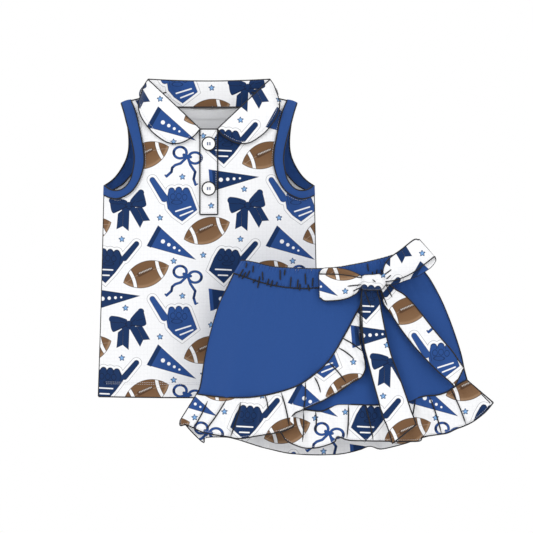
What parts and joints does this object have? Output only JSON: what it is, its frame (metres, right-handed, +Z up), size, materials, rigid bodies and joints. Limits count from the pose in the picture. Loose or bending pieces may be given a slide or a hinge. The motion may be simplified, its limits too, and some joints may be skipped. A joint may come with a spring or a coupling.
{
  "type": "cheer uniform",
  "caption": "Child's cheer uniform: sleeveless polo top with rounded collar and placket, and a wrap skirt with printed ruffles and a sash bow.",
  "frame": {"origin": "middle of the shoulder line of the top, where a neck or a hanger holds it", "axes": "+Z up, front of both garments towards -Y, +X to the right as seen from the front"},
  "size_m": [0.5538, 0.1838, 0.528],
  "materials": {
    "printed_jersey": "matte",
    "white_jersey": "matte",
    "blue_jersey": "matte",
    "blue_rib": "matte",
    "elastic": "matte",
    "button_plastic": "gloss",
    "thread": "matte"
  },
  "bodies": {
    "top": {"front_panel": "printed_jersey", "back_panel": "printed_jersey", "shoulder_seam_left": "white_jersey", "shoulder_seam_right": "white_jersey", "side_seam_left": "white_jersey", "side_seam_right": "white_jersey", "hem_front": "white_jersey", "hem_back": "white_jersey", "armhole_binding_left": "blue_rib", "armhole_binding_right": "blue_rib", "collar_stand_left": "printed_jersey", "collar_stand_right": "printed_jersey", "collar_band_back": "printed_jersey", "collar_fall_back": "printed_jersey", "neck_tape": "white_jersey", "placket_upper": "printed_jersey", "placket_under": "white_jersey", "thread_shanks": "thread"},
    "collar_left": {"collar_leaf_left": "printed_jersey"},
    "collar_right": {"collar_leaf_right": "printed_jersey"},
    "button_top": {"button_upper": "button_plastic", "button_thread_upper": "thread"},
    "button_bottom": {"button_lower": "button_plastic", "button_thread_lower": "thread"},
    "skirt": {"waistband_front": "blue_jersey", "waistband_back": "blue_jersey", "waist_elastic": "elastic", "overskirt_panel": "blue_jersey", "overskirt_ruffle": "printed_jersey", "underskirt_panel": "blue_jersey", "underskirt_ruffle": "printed_jersey", "skirt_back_panel": "blue_jersey", "skirt_back_ruffle": "printed_jersey", "skirt_side_seam_left": "blue_jersey", "skirt_side_seam_right": "blue_jersey", "bow_knot": "printed_jersey"},
    "wrap_flap": {"wrap_flap_panel": "blue_jersey", "wrap_flap_ruffle": "printed_jersey"},
    "loop_left": {"bow_loop_left": "printed_jersey"},
    "loop_right": {"bow_loop_right": "printed_jersey"},
    "tail_center": {"bow_tail_center": "printed_jersey"},
    "tail_right": {"bow_tail_right": "printed_jersey"}
  },
  "joints": [
    {"name": "skirt_take_out", "type": "slide", "parent": "top", "child": "skirt", "axis": [0, -1, 0], "range_m": [0, 0.25]},
    {"name": "collar_left_flip", "type": "hinge", "parent": "top", "child": "collar_left", "pos_m": [-0.086, -0.0068, 0.0295], "axis": [-0.6907, 0.2791, 0.6672], "range_deg": [0, 110]},
    {"name": "collar_right_flip", "type": "hinge", "parent": "top", "child": "collar_right", "pos_m": [0.086, -0.0068, 0.0295], "axis": [-0.6907, -0.2791, -0.6672], "range_deg": [0, 110]},
    {"name": "button_top_turn", "type": "hinge", "parent": "top", "child": "button_top", "pos_m": [0, -0.0364, -0.062], "axis": [0, -1, 0], "range_deg": [-30, 30]},
    {"name": "button_bottom_turn", "type": "hinge", "parent": "top", "child": "button_bottom", "pos_m": [0, -0.0384, -0.125], "axis": [0, -1, 0], "range_deg": [-30, 30]},
    {"name": "wrap_corner_fold", "type": "hinge", "parent": "skirt", "child": "wrap_flap", "pos_m": [0.201, -0.132, -0.307], "axis": [-0.6953, -0.0295, -0.7181], "range_deg": [0, 100]},
    {"name": "loop_left_swing", "type": "hinge", "parent": "skirt", "child": "loop_left", "pos_m": [0.2125, -0.1383, -0.256], "axis": [0, 0, 1], "range_deg": [0, 60]},
    {"name": "loop_right_swing", "type": "hinge", "parent": "skirt", "child": "loop_right", "pos_m": [0.248, -0.1383, -0.256], "axis": [0, 0, -1], "range_deg": [0, 60]},
    {"name": "tail_center_lift", "type": "hinge", "parent": "skirt", "child": "tail_center", "pos_m": [0.225, -0.128, -0.271], "axis": [-1, 0, 0], "range_deg": [0, 80]},
    {"name": "tail_right_lift", "type": "hinge", "parent": "skirt", "child": "tail_right", "pos_m": [0.255, -0.1215, -0.2675], "axis": [-1, 0, 0], "range_deg": [0, 80]}
  ]
}
